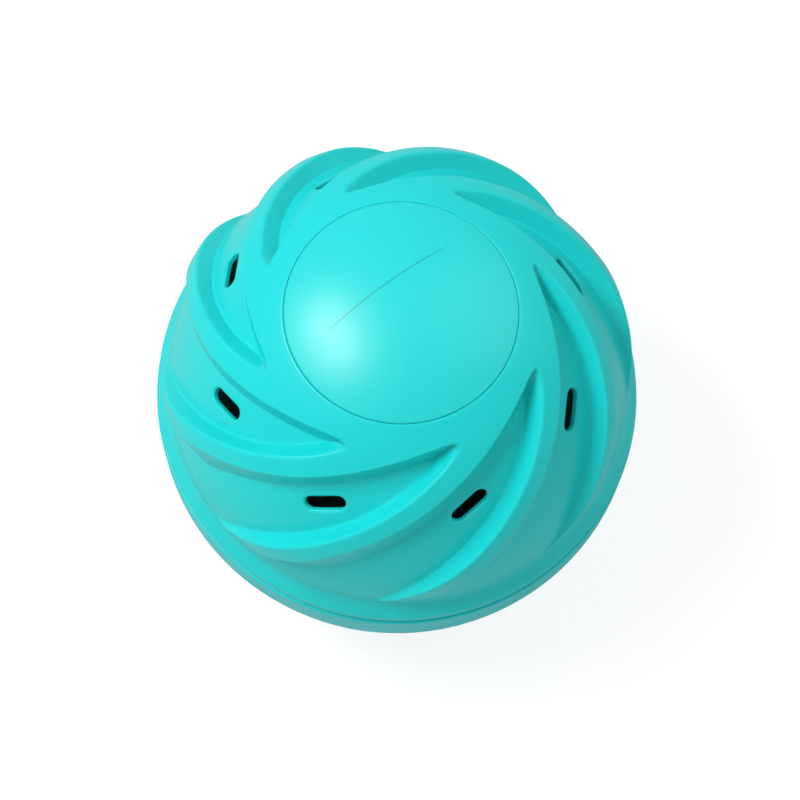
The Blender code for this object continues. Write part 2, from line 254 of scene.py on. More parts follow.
SECTOR_COLUMNS = 60
FOOT_AHEAD = 5.0
LEAST_POCKET_TURN = 4.0
LEAST_FLOOR_TURN = 3.0
LEAST_SIDE_TURN = 0.6
CROWDING = 0.75
CROWDED_FROM, CROWDED_FULLY = 1.0, 8.0
EVEN_FROM, EVEN_FULLY = 82.0, 87.0


def pocket_columns(polar, upper):
    """Turns of one sector's grid columns: spread by cosines between the crest edges and feet, so that they
    crowd there, and even near the pole and the rim."""
    far_edge = wall_edge_turn(polar)
    even = far_edge - SECTOR + SECTOR * np.arange(SECTOR_COLUMNS) / SECTOR_COLUMNS
    depth = crest_radius(polar, upper) - floor_radius(polar, upper)
    foot_polar = polar - wall_fall(polar - FOOT_AHEAD, depth) / DEGREE_ARC
    near_edge = np.minimum(far_edge - LEAST_POCKET_TURN, flank_edge_turn(polar))
    near_foot = np.minimum(far_edge - LEAST_FLOOR_TURN, near_edge + flank_width(polar))
    far_foot = wall_edge_turn(foot_polar)
    far_foot = np.clip(far_foot, near_foot + LEAST_SIDE_TURN, far_edge - LEAST_SIDE_TURN)
    stations = np.stack([far_edge - SECTOR, near_edge, near_foot, far_foot, far_edge])
    share = np.arange(SECTOR_COLUMNS) / SECTOR_COLUMNS * (len(stations) - 1.0)
    piece = share.astype(int)
    eased = (1.0 - np.cos(np.pi * (share - piece))) / 2.0
    start = stations[piece, :, 0].T
    end = stations[piece + 1, :, 0].T
    crowded = start + (end - start) * (CROWDING * eased + (1.0 - CROWDING) * (share - piece))
    near_pole = smooth_step(polar, POCKET_START + CROWDED_FROM, POCKET_START + CROWDED_FULLY)
    near_rim = smooth_step(polar, EVEN_FROM, EVEN_FULLY)
    return even + (crowded - even) * near_pole * (1.0 - near_rim)


def eased_outline(corners, cut, steps=4):
    """Outline through (r, z) corners, each replaced by a short parabola from cut before it to cut after."""
    corners = np.array(corners)
    middle = corners[1:-1]
    before = corners[:-2] - middle
    after = corners[2:] - middle
    first = middle + cut * before / np.linalg.norm(before, axis=1, keepdims=True)
    last = middle + cut * after / np.linalg.norm(after, axis=1, keepdims=True)
    t = np.linspace(0.0, 1.0, steps)[None, :, None]
    bends = (1.0 - t) ** 2 * first[:, None] + 2.0 * t * (1.0 - t) * middle[:, None] + t ** 2 * last[:, None]
    return np.vstack([corners[:1], bends.reshape(-1, 2), corners[-1:]])


def dome_outline(radius, first_polar, last_polar, count):
    """Points of a circle about the dome's centre: r = radius * sin(polar), z = lift + radius * cos(polar)."""
    polar = np.radians(np.linspace(first_polar, last_polar, count))
    return np.column_stack([radius * np.sin(polar), DOME_LIFT + radius * np.cos(polar)])


LIP_STEP = 0.00006
LIP_ROUND = 0.00024
LIP_STEPS = 6
LAND_END = 30.6
LAND_RINGS = 8
RIBBED_MARKS = (30.8, 38.0, 48.0, 62.0, 80.0)
RIBBED_SPACING = (0.22, 0.22, 0.60, 0.95, 0.90, 0.45)
RIBBED_SAMPLES = 4000
RIM_ROUND = 0.00011
INSIDE_RINGS = 10
RECESS_RINGS = 4


def shell_grid(upper, trim, rim_corners, last_polar):
    """Every ring of a closed shell half as an array of points, ring by ring, and the number of columns by
    which the last ring is turned against the first. The rings run down the outside from the recess of the
    cover disc, around the rim and back up the inside; each point is (r cos, r sin, z) of its azimuth. The
    ribbed rings lie at the spacing given at each mark, and trim shapes their radius beside the rim."""
    edge_polar = RECESS_POLAR + np.degrees(EDGE_ROUND / CREST_RADIUS)
    edge = dome_outline(CREST_RADIUS, edge_polar, edge_polar, 1)[0]
    lip_corners = [(RECESS_RADIUS, edge[1] - EDGE_ROUND), (RECESS_RADIUS, edge[1] + LIP_STEP), tuple(edge)]
    lip = eased_outline(lip_corners, LIP_ROUND, LIP_STEPS)[:-1]
    land = dome_outline(CREST_RADIUS, edge_polar, LAND_END, LAND_RINGS)
    marks = RIBBED_MARKS + (last_polar,)
    fine = np.linspace(marks[0], marks[-1], RIBBED_SAMPLES)
    passed = np.cumsum(1.0 / np.interp(fine, marks, RIBBED_SPACING)) * (fine[1] - fine[0])
    polar = np.interp(np.linspace(passed[0], passed[-1], int(passed[-1])), passed, fine)[:, None]

    turn = pocket_columns(polar, upper)
    radius = trim(ribbed_radius(polar, turn, upper), polar)
    ribbed_r = radius * np.sin(np.radians(polar))
    ribbed_z = DOME_LIFT + radius * np.cos(np.radians(polar))

    rim = eased_outline([(ribbed_r[-1, 0], ribbed_z[-1, 0])] + rim_corners, RIM_ROUND)[1:]
    first_inner = np.degrees(np.arccos((rim[-1, 1] - DOME_LIFT) / INNER_RADIUS))
    last_inner = np.degrees(np.arcsin(PEG_HOLE_RADIUS / INNER_RADIUS))
    inside = dome_outline(INNER_RADIUS, first_inner, last_inner, INSIDE_RINGS)[1:]
    recess_first = np.degrees(np.arcsin(PEG_HOLE_RADIUS / RECESS_FLOOR_RADIUS))
    recess_last = np.degrees(np.arcsin(RECESS_RADIUS / RECESS_FLOOR_RADIUS))
    recess = dome_outline(RECESS_FLOOR_RADIUS, recess_first, recess_last, RECESS_RINGS)

    pole_turn = pocket_columns(polar[:1], upper)[0, 0]
    rim_turn = turn[-1, 0]
    sectors_turned = int(round((rim_turn - pole_turn) / SECTOR))
    inner_turn = pole_turn + SECTOR * sectors_turned
    before = np.vstack([lip, land])
    after = np.vstack([rim, inside, recess])
    after_turn = np.concatenate([
        np.full(len(rim), rim_turn),
        np.linspace(rim_turn, inner_turn, len(inside) + 1)[1:],
        np.full(len(recess), inner_turn),
    ])
    even = SECTOR * np.arange(SECTOR_COLUMNS) / SECTOR_COLUMNS
    wide = np.ones(SECTOR_COLUMNS)
    turn = np.vstack([pole_turn + even + np.zeros((len(before), 1)), turn, after_turn[:, None] + even])
    r = np.vstack([before[:, :1] * wide, ribbed_r, after[:, :1] * wide])
    z = np.vstack([before[:, 1:] * wide, ribbed_z, after[:, 1:] * wide])

    sector = SECTOR * np.arange(POCKETS)[None, :, None]
    azimuth = np.radians(FIRST_POCKET_AZIMUTH - turn[:, None, :] - sector)
    points = np.stack([
        r[:, None, :] * np.cos(azimuth),
        r[:, None, :] * np.sin(azimuth),
        z[:, None, :] + 0.0 * azimuth,
    ], axis=-1)
    return points.reshape(len(r), POCKETS * SECTOR_COLUMNS, 3), sectors_turned * SECTOR_COLUMNS


def mesh_of_rings(name, points, shift):
    """Mesh of a grid of rings closed both ways, the last ring joined to the first with its columns moved
    on by shift."""
    rows, columns = points.shape[:2]
    index = np.arange(rows * columns).reshape(rows, columns)
    following = np.vstack([index[1:], np.roll(index[:1], -shift, axis=1)])
    faces = np.stack([index, np.roll(index, -1, 1), np.roll(following, -1, 1), following], axis=-1)
    mesh = bpy.data.meshes.new(name)
    mesh.from_pydata(points.reshape(-1, 3), [], faces.reshape(-1, 4))
    mesh.shade_smooth()
    return mesh


SLOT_LENGTH = 0.0083
SLOT_WIDTH = 0.0030
SLOT_POLAR = 51.3
SLOT_TURN = 44.2
SLOT_SLANT = 27.0
SLOT_MOUTH_ROUND = 0.00045
MOUTH_SWEEP = 62.0
MOUTH_RINGS = 7
PLUG_POINTS = 40
PLUG_STEM = (0.0430, 0.0450)
PLUG_RUN_ON = 0.0012


def slot_cutters(name):
    """Eight obround plugs with flared mouths, one for each pocket, pointing at the dome's centre. A ring
    of a plug is the obround drawn outward by an offset, at a level along the plug's own axis, lowered by
    the dome's fall, distance^2 / (2 * radius), so that a mouth follows the floor. The flare is a quarter
    round, offset = round * (1 - cos), level = round * sin, run on straight past the floor."""
    angle = 2.0 * np.pi * (np.arange(PLUG_POINTS) + 0.5) / PLUG_POINTS
    bow = np.radians(np.linspace(0.0, MOUTH_SWEEP, MOUTH_RINGS))
    flare = SLOT_MOUTH_ROUND * (1.0 - np.cos(bow))
    climb = FLOOR_RADIUS - SLOT_MOUTH_ROUND * (1.0 - np.sin(bow))
    offset = np.concatenate([[0.0, 0.0], flare, flare[-1:] + PLUG_RUN_ON * np.sin(bow[-1])])
    level = np.concatenate([PLUG_STEM, climb, climb[-1:] + PLUG_RUN_ON * np.cos(bow[-1])])
    half_straight = (SLOT_LENGTH - SLOT_WIDTH) / 2.0
    reach = SLOT_WIDTH / 2.0 + offset[:, None]
    along = reach * np.cos(angle) + half_straight * np.sign(np.cos(angle))
    across = reach * np.sin(angle)
    slant = np.radians(SLOT_SLANT)
    side = -(along * np.cos(slant) - across * np.sin(slant))
    down_slope = along * np.sin(slant) + across * np.cos(slant)
    stand = level[:, None] - (side ** 2 + down_slope ** 2) / (2.0 * FLOOR_RADIUS)
    tip = np.radians(SLOT_POLAR)
    out = stand * np.sin(tip) + down_slope * np.cos(tip)
    up = DOME_LIFT + stand * np.cos(tip) - down_slope * np.sin(tip)
    spin = np.radians(FIRST_POCKET_AZIMUTH - SLOT_TURN - SECTOR * np.arange(POCKETS))[:, None, None]
    points = np.stack([
        out * np.cos(spin) - side * np.sin(spin),
        out * np.sin(spin) + side * np.cos(spin),
        up + 0.0 * spin,
    ], axis=-1)
    rings = len(level)
    index = np.arange(rings * PLUG_POINTS).reshape(rings, PLUG_POINTS)
    sides = np.stack([index[:-1], np.roll(index[:-1], -1, 1), np.roll(index[1:], -1, 1), index[1:]], axis=-1)
    faces = []
    for pocket in range(POCKETS):
        first = pocket * rings * PLUG_POINTS
        faces += (sides.reshape(-1, 4) + first).tolist()
        faces += [(index[0][::-1] + first).tolist(), (index[-1] + first).tolist()]
    mesh = bpy.data.meshes.new(name)
    mesh.from_pydata(points.reshape(-1, 3), [], faces)
    flush = bmesh.new()
    flush.from_mesh(mesh)
    bmesh.ops.recalc_face_normals(flush, faces=flush.faces)
    flush.to_mesh(mesh)
    flush.free()
    return mesh


def crease_between_materials(mesh):
    """Mark an edge sharp where some, but not all, of its faces have the second material slot."""
    slots = np.zeros(len(mesh.polygons), dtype=np.int32)
    corners = np.zeros(len(mesh.polygons), dtype=np.int32)
    edges = np.zeros(len(mesh.loops), dtype=np.int32)
    mesh.polygons.foreach_get("material_index", slots)
    mesh.polygons.foreach_get("loop_total", corners)
    mesh.loops.foreach_get("edge_index", edges)
    faces = np.bincount(edges, minlength=len(mesh.edges))
    second = np.bincount(edges, weights=np.repeat(slots, corners), minlength=len(mesh.edges))
    mesh.edges.foreach_set("use_edge_sharp", (second > 0) & (second < faces))


def slotted_shell(name, grid, plastic):
    """The shell's grid with the eight drain slots cut through it, their walls kept crisp at the edges. The
    plugs have the plastic in a second slot, which tells the cut walls from the shell's own faces."""
    mesh = mesh_of_rings(name, *grid)
    shell = bpy.data.objects.new(name, mesh)
    cutter_mesh = slot_cutters(name + "_slots")
    cutter = bpy.data.objects.new(name + "_slots", cutter_mesh)
    for piece in (shell, cutter):
        piece.data.materials.append(plastic)
        piece.data.materials.append(plastic)
        bpy.context.scene.collection.objects.link(piece)
    cutter_mesh.polygons.foreach_set("material_index", np.ones(len(cutter_mesh.polygons), dtype=np.int32))
    cut = shell.modifiers.new("drain_slots", "BOOLEAN")
    cut.operation = "DIFFERENCE"
    cut.solver = "EXACT"
    cut.object = cutter
    shell.data = bpy.data.meshes.new_from_object(shell.evaluated_get(bpy.context.evaluated_depsgraph_get()))
    shell.modifiers.clear()
    bpy.data.objects.remove(cutter)
    bpy.data.meshes.remove(mesh)
    crease_between_materials(shell.data)
    shell.data.shade_smooth()
    return shell


def turn_over(piece):
    """Turns a half's piece over about the X axis in its mesh: y and z change sign."""
    piece.data.transform(Matrix.Rotation(np.pi, 4, "X"))


def worked_out(tree, operation, *terms):
    """Output of a math node on terms that are numbers or sockets."""
    node = tree.nodes.new("ShaderNodeMath")
    node.operation = operation
    for socket, term in zip(node.inputs, terms):
        if isinstance(term, float):
            socket.default_value = term
        else:
            tree.links.new(term, socket)
    return node.outputs[0]


def scaled_colour(tree, colour, factor):
    """Colour times a factor, both from sockets."""
    node = tree.nodes.new("ShaderNodeVectorMath")
    node.operation = "SCALE"
    tree.links.new(colour, node.inputs[0])
    tree.links.new(factor, node.inputs["Scale"])
    return node.outputs[0]


def cloud(tree, place, scale, detail):
    """Value of a noise on the piece's own coordinates."""
    noise = tree.nodes.new("ShaderNodeTexNoise")
    noise.inputs["Scale"].default_value = scale
    noise.inputs["Detail"].default_value = detail
    tree.links.new(place, noise.inputs["Vector"])
    return noise.outputs["Fac"]


def skin_group(name, inputs):
    """A skin's node group with its inputs, as (name, socket type, value), and with outputs for colour,
    roughness and normal. Gives the group, its input sockets, its output sockets and Object coordinates."""
    group = bpy.data.node_groups.new(name, "ShaderNodeTree")
    for label, kind, value in inputs:
        group.interface.new_socket(label, in_out="INPUT", socket_type=kind).default_value = value
    for label, kind in (("Colour", "Color"), ("Roughness", "Float"), ("Normal", "Vector")):
        group.interface.new_socket(label, in_out="OUTPUT", socket_type="NodeSocket" + kind)
    given = group.nodes.new("NodeGroupInput").outputs
    made = group.nodes.new("NodeGroupOutput").inputs
    return group, given, made, group.nodes.new("ShaderNodeTexCoord").outputs["Object"]


TURQUOISE = (0.010, 0.650, 0.645, 1.0)
GRAIN_HEIGHT = 0.00002


def satin_moulding():
    """Surface of a satin plastic moulding, as varying colour, roughness and normal. Broad flow clouds
    tint it, a finer cloud shifts the gloss, and a grain far below a millimetre roughens the skin."""
    group, given, made, place = skin_group("satin_moulding", [
        ("Plastic Colour", "NodeSocketColor", TURQUOISE),
        ("Flow Contrast", "NodeSocketFloat", 0.05),
        ("Gloss", "NodeSocketFloat", 0.36),
        ("Gloss Spread", "NodeSocketFloat", 0.06),
        ("Grain Depth", "NodeSocketFloat", 0.1),
    ])

    def spread(value, centre, width):
        """Centre + width * (value - 0.5), for a noise that lies about a half."""
        return worked_out(group, "MULTIPLY_ADD", worked_out(group, "SUBTRACT", value, 0.5), width, centre)

    shade = spread(cloud(group, place, scale=55.0, detail=3.0), 1.0, given["Flow Contrast"])
    group.links.new(scaled_colour(group, given["Plastic Colour"], shade), made["Colour"])
    gloss = spread(cloud(group, place, scale=420.0, detail=4.0), given["Gloss"], given["Gloss Spread"])
    group.links.new(gloss, made["Roughness"])
    grain = group.nodes.new("ShaderNodeBump")
    grain.inputs["Distance"].default_value = GRAIN_HEIGHT
    group.links.new(cloud(group, place, scale=4200.0, detail=2.0), grain.inputs["Height"])
    group.links.new(given["Grain Depth"], grain.inputs["Strength"])
    group.links.new(grain.outputs["Normal"], made["Normal"])
    return group


def skinned_material(name, group, values):
    """A material whose base colour, roughness and normal come from a skin group with these values."""
    material = bpy.data.materials.new(name)
    material.use_nodes = True
    shader = material.node_tree.nodes["Principled BSDF"]
    shader.inputs["Metallic"].default_value = 0.0
    skin = material.node_tree.nodes.new("ShaderNodeGroup")
    skin.node_tree = group
    for label, value in values.items():
        skin.inputs[label].default_value = value
    for label, socket in (("Colour", "Base Color"), ("Roughness", "Roughness"), ("Normal", "Normal")):
        material.node_tree.links.new(skin.outputs[label], shader.inputs[socket])
    return material


moulding = satin_moulding()
PLASTIC_IOR = 1.49


def moulded_plastic(name, gloss, flow, shine):
    """A plastic with the satin moulding for its skin, and its own gloss, flow clouds and shine."""
    plastic = skinned_material(name, moulding, {"Gloss": gloss, "Flow Contrast": flow})
    shader = plastic.node_tree.nodes["Principled BSDF"]
    shader.inputs["IOR"].default_value = PLASTIC_IOR
    shader.inputs["Specular IOR Level"].default_value = shine
    return plastic


shell_plastic = moulded_plastic("turquoise_shell_plastic", gloss=0.33, flow=0.06, shine=0.30)

PARTING_Z = 0.00015
SKIRT_RADIUS = 0.0495
SKIRT_ROUND = 0.00004
SPIGOT_RADIUS = 0.0447
SPIGOT_END_Z = -0.0050
SPIGOT_BORE_RADIUS = 0.0431
SPIGOT_ROOT_Z = 0.0015
SNAP_RADIUS = 0.0449
SNAP_Z = -0.0022
SNAP_HALF_WIDTH = 0.0006
INSIDE_START_Z = 0.0037


def skirt_trim(radius, polar):
    """The ribbed dome cut off by the skirt's cylinder, whose radius from the centre is r / sin(polar)."""
    return round_edge(radius, SKIRT_RADIUS / np.sin(np.radians(polar)), SKIRT_ROUND)


lower_rim = [
    (SKIRT_RADIUS, PARTING_Z + EDGE_ROUND),
    (SKIRT_RADIUS - EDGE_ROUND, PARTING_Z),
    (SPIGOT_RADIUS, PARTING_Z),
    (SPIGOT_RADIUS, SNAP_Z + SNAP_HALF_WIDTH),
    (SNAP_RADIUS, SNAP_Z),
    (SPIGOT_RADIUS, SNAP_Z - SNAP_HALF_WIDTH),
    (SPIGOT_RADIUS, SPIGOT_END_Z + EDGE_ROUND),
    (SPIGOT_RADIUS - EDGE_ROUND, SPIGOT_END_Z),
    (SPIGOT_BORE_RADIUS, SPIGOT_END_Z),
    (SPIGOT_BORE_RADIUS, SPIGOT_ROOT_Z),
    (np.sqrt(INNER_RADIUS ** 2 - (INSIDE_START_Z - DOME_LIFT) ** 2), INSIDE_START_Z),
]
lower_grid = shell_grid(upper=False, trim=skirt_trim, rim_corners=lower_rim, last_polar=89.0)
lower_shell = slotted_shell("ribbed_lower_shell", lower_grid, shell_plastic)
turn_over(lower_shell)
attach(lower_shell, "lower_half")
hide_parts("lower_shell")


# Lower cover disc
# A shallow turquoise cap moulded by itself and pressed into the recess at the pole, flush with the dome.
# Its peg fills the hole at the pole of the shell, and a hairline gap is left all round.

DISC_RADIUS = 0.02205
DISC_THICKNESS = 0.0016
DISC_BEVEL = 0.0003
DISC_BEVEL_FALL = 0.00015
DISC_ROUND = 0.00028
DISC_ROUND_STEPS = 6
DISC_FACE_RINGS = 22
DISC_COLUMNS = 192
PEG_RADIUS = 0.0030


def pole_closed_mesh(name, rings, first_pole, last_pole):
    """Smooth mesh of a grid of rings closed around, its ends closed by fans to their pole points."""
    count, columns = rings.shape[:2]
    points = np.vstack([rings.reshape(-1, 3), [first_pole, last_pole]])
    index = np.arange(count * columns).reshape(count, columns)
    sides = np.stack([index[:-1], index[1:], np.roll(index[1:], -1, 1), np.roll(index[:-1], -1, 1)], axis=-1)
    first = np.stack([index[0], np.roll(index[0], -1), np.full(columns, count * columns)], axis=-1)
    last = np.stack([np.roll(index[-1], -1), index[-1], np.full(columns, count * columns + 1)], axis=-1)
    mesh = bpy.data.meshes.new(name)
    mesh.from_pydata(points, [], sides.reshape(-1, 4).tolist() + first.tolist() + last.tolist())
    mesh.shade_smooth()
    return mesh


def turned_mesh(name, outline, columns):
    """Solid of revolution of an (r, z) outline that starts and ends on the axis: each point between them
    becomes a ring of (r cos, r sin, z)."""
    angle = 2.0 * np.pi * np.arange(columns) / columns
    r = outline[1:-1, :1]
    rings = np.stack([r * np.cos(angle), r * np.sin(angle), outline[1:-1, 1:] + 0.0 * angle], axis=-1)
    return pole_closed_mesh(name, rings, (0.0, 0.0, outline[0, 1]), (0.0, 0.0, outline[-1, 1]))


def cover_disc(name, plastic):
    """The cap in its half's own frame: the dome's face, a rounded edge, a concentric underside and a peg."""
    edge_polar = np.degrees(np.arcsin((DISC_RADIUS - DISC_BEVEL) / CREST_RADIUS))
    face = dome_outline(CREST_RADIUS, 0.0, edge_polar, DISC_FACE_RINGS)

    def height(radius, r):
        """Height of a sphere about the dome's centre: lift + sqrt(radius^2 - r^2)."""
        return DOME_LIFT + np.sqrt(radius ** 2 - r ** 2)

    under = CREST_RADIUS - DISC_THICKNESS
    peg_end = height(INNER_RADIUS, PEG_RADIUS)
    corners = [
        tuple(face[-1]),
        (DISC_RADIUS, face[-1, 1] - DISC_BEVEL_FALL),
        (DISC_RADIUS, height(under, DISC_RADIUS)),
        (DISC_RADIUS / 2.0, height(under, DISC_RADIUS / 2.0)),
        (PEG_RADIUS, height(under, PEG_RADIUS)),
        (PEG_RADIUS, peg_end + EDGE_ROUND),
        (PEG_RADIUS - EDGE_ROUND, peg_end),
        (0.0, peg_end),
    ]
    outline = np.vstack([face[:-1], eased_outline(corners, DISC_ROUND, DISC_ROUND_STEPS)])
    mesh = turned_mesh(name, outline, DISC_COLUMNS)
    mesh.materials.append(plastic)
    disc = bpy.data.objects.new(name, mesh)
    bpy.context.scene.collection.objects.link(disc)
    return disc


disc_plastic = moulded_plastic("turquoise_disc_plastic", gloss=0.37, flow=0.05, shine=0.50)
lower_disc = cover_disc("pressed_bottom_disc", disc_plastic)
turn_over(lower_disc)
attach(lower_disc, "lower_half")
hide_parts("bottom_disc")


# Ceramic beads
# Balls of fired clay, about ten millimetres across, loose in the lower bowl in rings. They are rolled,
# so each is a little uneven, with a matt, pitted and speckled skin in one of three body colours.

BEAD_RADIUS = 0.0050
BEAD_ROWS = 15
BEAD_COLUMNS = 28
UNEVENNESS = 0.012
BEADS = 37
LAT_PHASE, LON_PHASE = 1.7, 2.3
BODY_TINT = (0.78, 1.18)
SPECK_SCALE = 900.0
SPECK_RIM = (0.12, 0.28)
SPECK_STRENGTH = (0.7, 0.0)
CLAY_ROUGHNESS = (0.68, 0.92)
PIT_STRENGTH = 0.6
PIT_DEPTH = 0.0002


def mapped(tree, value, came_from, goes_to, eased=False):
    """Value moved from one range into another, in a straight line or eased at both ends."""
    node = tree.nodes.new("ShaderNodeMapRange")
    if eased:
        node.interpolation_type = "SMOOTHSTEP"
    for end, number in zip(("From Min", "From Max", "To Min", "To Max"), came_from + goes_to):
        node.inputs[end].default_value = number
    tree.links.new(value, node.inputs["Value"])
    return node.outputs["Result"]


def fired_clay():
    """Skin of an unglazed ceramic ball: a cloudy body colour, darker iron specks and shallow pits."""
    group, given, made, place = skin_group("fired_clay", [
        ("Body Colour", "NodeSocketColor", (0.78, 0.72, 0.59, 1.0)),
        ("Speck Colour", "NodeSocketColor", (0.42, 0.34, 0.24, 1.0)),
    ])
    mottle = cloud(group, place, scale=300.0, detail=5.0)
    specks = group.nodes.new("ShaderNodeTexVoronoi")
    specks.inputs["Scale"].default_value = SPECK_SCALE
    group.links.new(place, specks.inputs["Vector"])
    tint = mapped(group, mottle, (0.0, 1.0), BODY_TINT)
    speck_mask = mapped(group, specks.outputs["Distance"], SPECK_RIM, SPECK_STRENGTH)
    speckled = group.nodes.new("ShaderNodeMix")
    speckled.data_type = "RGBA"
    group.links.new(speck_mask, speckled.inputs["Factor"])
    group.links.new(scaled_colour(group, given["Body Colour"], tint), speckled.inputs["A"])
    group.links.new(given["Speck Colour"], speckled.inputs["B"])
    group.links.new(speckled.outputs["Result"], made["Colour"])
    group.links.new(mapped(group, mottle, (0.0, 1.0), CLAY_ROUGHNESS), made["Roughness"])
    pits = group.nodes.new("ShaderNodeBump")
    pits.inputs["Strength"].default_value = PIT_STRENGTH
    pits.inputs["Distance"].default_value = PIT_DEPTH
    group.links.new(mottle, pits.inputs["Height"])
    group.links.new(pits.outputs["Normal"], made["Normal"])
    return group


clay = fired_clay()
clay_bodies = [
    (clay_name, skinned_material("fired_" + clay_name, clay, {"Body Colour": body, "Speck Colour": speck}))
    for clay_name, body, speck in (
        ("ivory_ceramic", (0.78, 0.72, 0.59, 1.0), (0.42, 0.34, 0.24, 1.0)),
        ("grey_green_ceramic", (0.33, 0.37, 0.31, 1.0), (0.12, 0.13, 0.11, 1.0)),
        ("terracotta_ceramic", (0.48, 0.19, 0.105, 1.0), (0.20, 0.07, 0.04, 1.0)),
    )
]


def rolled_bead(name, centre, number):
    """Ball of radius R * (1 - e * (1 + sin(2 lat + p) * cos(3 lon + q))), so never proud of R, with
    phases p and q that follow the bead's number."""
    lat = np.pi * (np.arange(1, BEAD_ROWS) / BEAD_ROWS)[:, None]
    lon = 2.0 * np.pi * np.arange(BEAD_COLUMNS)[None, :] / BEAD_COLUMNS
    wave = np.sin(2.0 * lat + LAT_PHASE * number) * np.cos(3.0 * lon + LON_PHASE * number)
    radius = BEAD_RADIUS * (1.0 - UNEVENNESS * (1.0 + wave))
    rings = np.stack([
        radius * np.sin(lat) * np.cos(lon),
        radius * np.sin(lat) * np.sin(lon),
        radius * np.cos(lat),
    ], axis=-1) + np.array(centre)
    pole = np.array([0.0, 0.0, BEAD_RADIUS * (1.0 - UNEVENNESS)])
    bead = bpy.data.objects.new(name, pole_closed_mesh(name, rings, centre + pole, centre - pole))
    bpy.context.scene.collection.objects.link(bead)
    return bead


for number in range(1, BEADS + 1):
    bead_node = f"ceramic_bead_{number:02d}"
    lowest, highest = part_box(bead_node)
    bead = rolled_bead(f"fired_bead_{number:02d}", np.array((lowest + highest) / 2.0), number)
    clay_name, clay_body = clay_bodies[number % len(clay_bodies)]
    bead.data.materials.append(clay_body)
    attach(bead, "lower_half")
    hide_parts(bead_node)


# Upper shell half
# The same moulding as the lower half down to its pockets. Below them its ribs sink into a smooth flare,
# then come a ridge, an upright band and the socket that drops over the spigot.

FLARE_TOP = (0.0466, 0.0062)
RIDGE = (0.0488, 0.0028)
FLARE_START = 80.0
FLARE_HOLLOW = 0.00015
FLARE_ROUND = 0.00006
BAND_RADIUS = 0.0491
BAND_TOP_Z = 0.0023
SOCKET_LEAD_IN = 0.0003
SOCKET_TOP_Z = 0.0056


def flare_radius(polar):
    """Radius, from the dome's centre, of the hollow flare below the pockets. Its chord runs from the
    flare's top to the ridge, so radius = reach / (sin(polar) + slope * cos(polar)), less a parabola along
    the chord, 4 * hollow * s * (1 - s). It is nothing above the polar angle where it starts, because there
    the chord has passed under the pocket floors."""
    fall = FLARE_TOP[1] - RIDGE[1]
    slope = (RIDGE[0] - FLARE_TOP[0]) / fall
    reach = FLARE_TOP[0] + slope * (FLARE_TOP[1] - DOME_LIFT)
    chord = reach / (np.sin(np.radians(polar)) + slope * np.cos(np.radians(polar)))
    height = DOME_LIFT + chord * np.cos(np.radians(polar))
    share = np.clip((FLARE_TOP[1] - height) / fall, 0.0, 1.0)
    return np.where(polar < FLARE_START, 0.0, chord - 4.0 * FLARE_HOLLOW * share * (1.0 - share))


def flare_trim(radius, polar):
    """The higher of the ribbed dome and the flare, with a fillet between them."""
    return round_hollow(radius, flare_radius(polar), FLARE_ROUND)


upper_rim = [
    RIDGE,
    (BAND_RADIUS, BAND_TOP_Z),
    (BAND_RADIUS, PARTING_Z + EDGE_ROUND),
    (BAND_RADIUS - EDGE_ROUND, PARTING_Z),
    (INNER_RADIUS + SOCKET_LEAD_IN, PARTING_Z),
    (INNER_RADIUS, PARTING_Z + SOCKET_LEAD_IN),
    (INNER_RADIUS, SOCKET_TOP_Z),
    (np.sqrt(INNER_RADIUS ** 2 - (SOCKET_TOP_Z - DOME_LIFT) ** 2), SOCKET_TOP_Z),
]
upper_grid = shell_grid(upper=True, trim=flare_trim, rim_corners=upper_rim, last_polar=87.0)
upper_shell = slotted_shell("ribbed_upper_shell", upper_grid, shell_plastic)
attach(upper_shell, "upper_half")
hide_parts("upper_shell")


# Upper cover disc
# The same cap as the lower one, pressed into the recess at the top of the ball. A darker hairline arc in its
# colour, as fine as a scratch and fading out at both ends, crosses its face beside the pole.

HAIRLINE_ARC_CENTRE = (0.13714, -0.16163, 0.0)
HAIRLINE_ARC_RADIUS = 0.21659
HAIRLINE_ARC_MIDDLE = (-0.0034, 0.0024, 0.0)
HAIRLINE_ARC_CORE, HAIRLINE_ARC_BRINK = 0.00006, 0.00020
HAIRLINE_ARC_FADE_START, HAIRLINE_ARC_FADE_END = 0.010, 0.018
HAIRLINE_ARC_DARKNESS = 0.38


def darken_along_hairline_arc(plastic):
    """Darken a plastic's colour along a hairline arc: full where the distance from its circle, |p - centre| -
    radius, is within its core, eased to nothing at its brink, and fading out with distance from its middle."""
    tree = plastic.node_tree
    flat = tree.nodes.new("ShaderNodeVectorMath")
    flat.operation = "MULTIPLY"
    flat.inputs[1].default_value = (1.0, 1.0, 0.0)
    tree.links.new(tree.nodes.new("ShaderNodeTexCoord").outputs["Object"], flat.inputs[0])

    def distance_from(point):
        """Distance, seen along the polar axis, from a point on the parting plane."""
        away = tree.nodes.new("ShaderNodeVectorMath")
        away.operation = "DISTANCE"
        away.inputs[1].default_value = point
        tree.links.new(flat.outputs[0], away.inputs[0])
        return away.outputs["Value"]

    off = worked_out(tree, "ABSOLUTE", worked_out(tree, "SUBTRACT", distance_from(HAIRLINE_ARC_CENTRE), HAIRLINE_ARC_RADIUS))
    beside = mapped(tree, off, (HAIRLINE_ARC_CORE, HAIRLINE_ARC_BRINK), (1.0, 0.0), eased=True)
    along = distance_from(HAIRLINE_ARC_MIDDLE)
    before_ends = mapped(tree, along, (HAIRLINE_ARC_FADE_START, HAIRLINE_ARC_FADE_END), (1.0, 0.0), eased=True)
    mask = worked_out(tree, "MULTIPLY", beside, before_ends)
    shade = worked_out(tree, "MULTIPLY_ADD", mask, -HAIRLINE_ARC_DARKNESS, 1.0)
    base = tree.nodes["Principled BSDF"].inputs["Base Color"]
    tree.links.new(scaled_colour(tree, base.links[0].from_socket, shade), base)


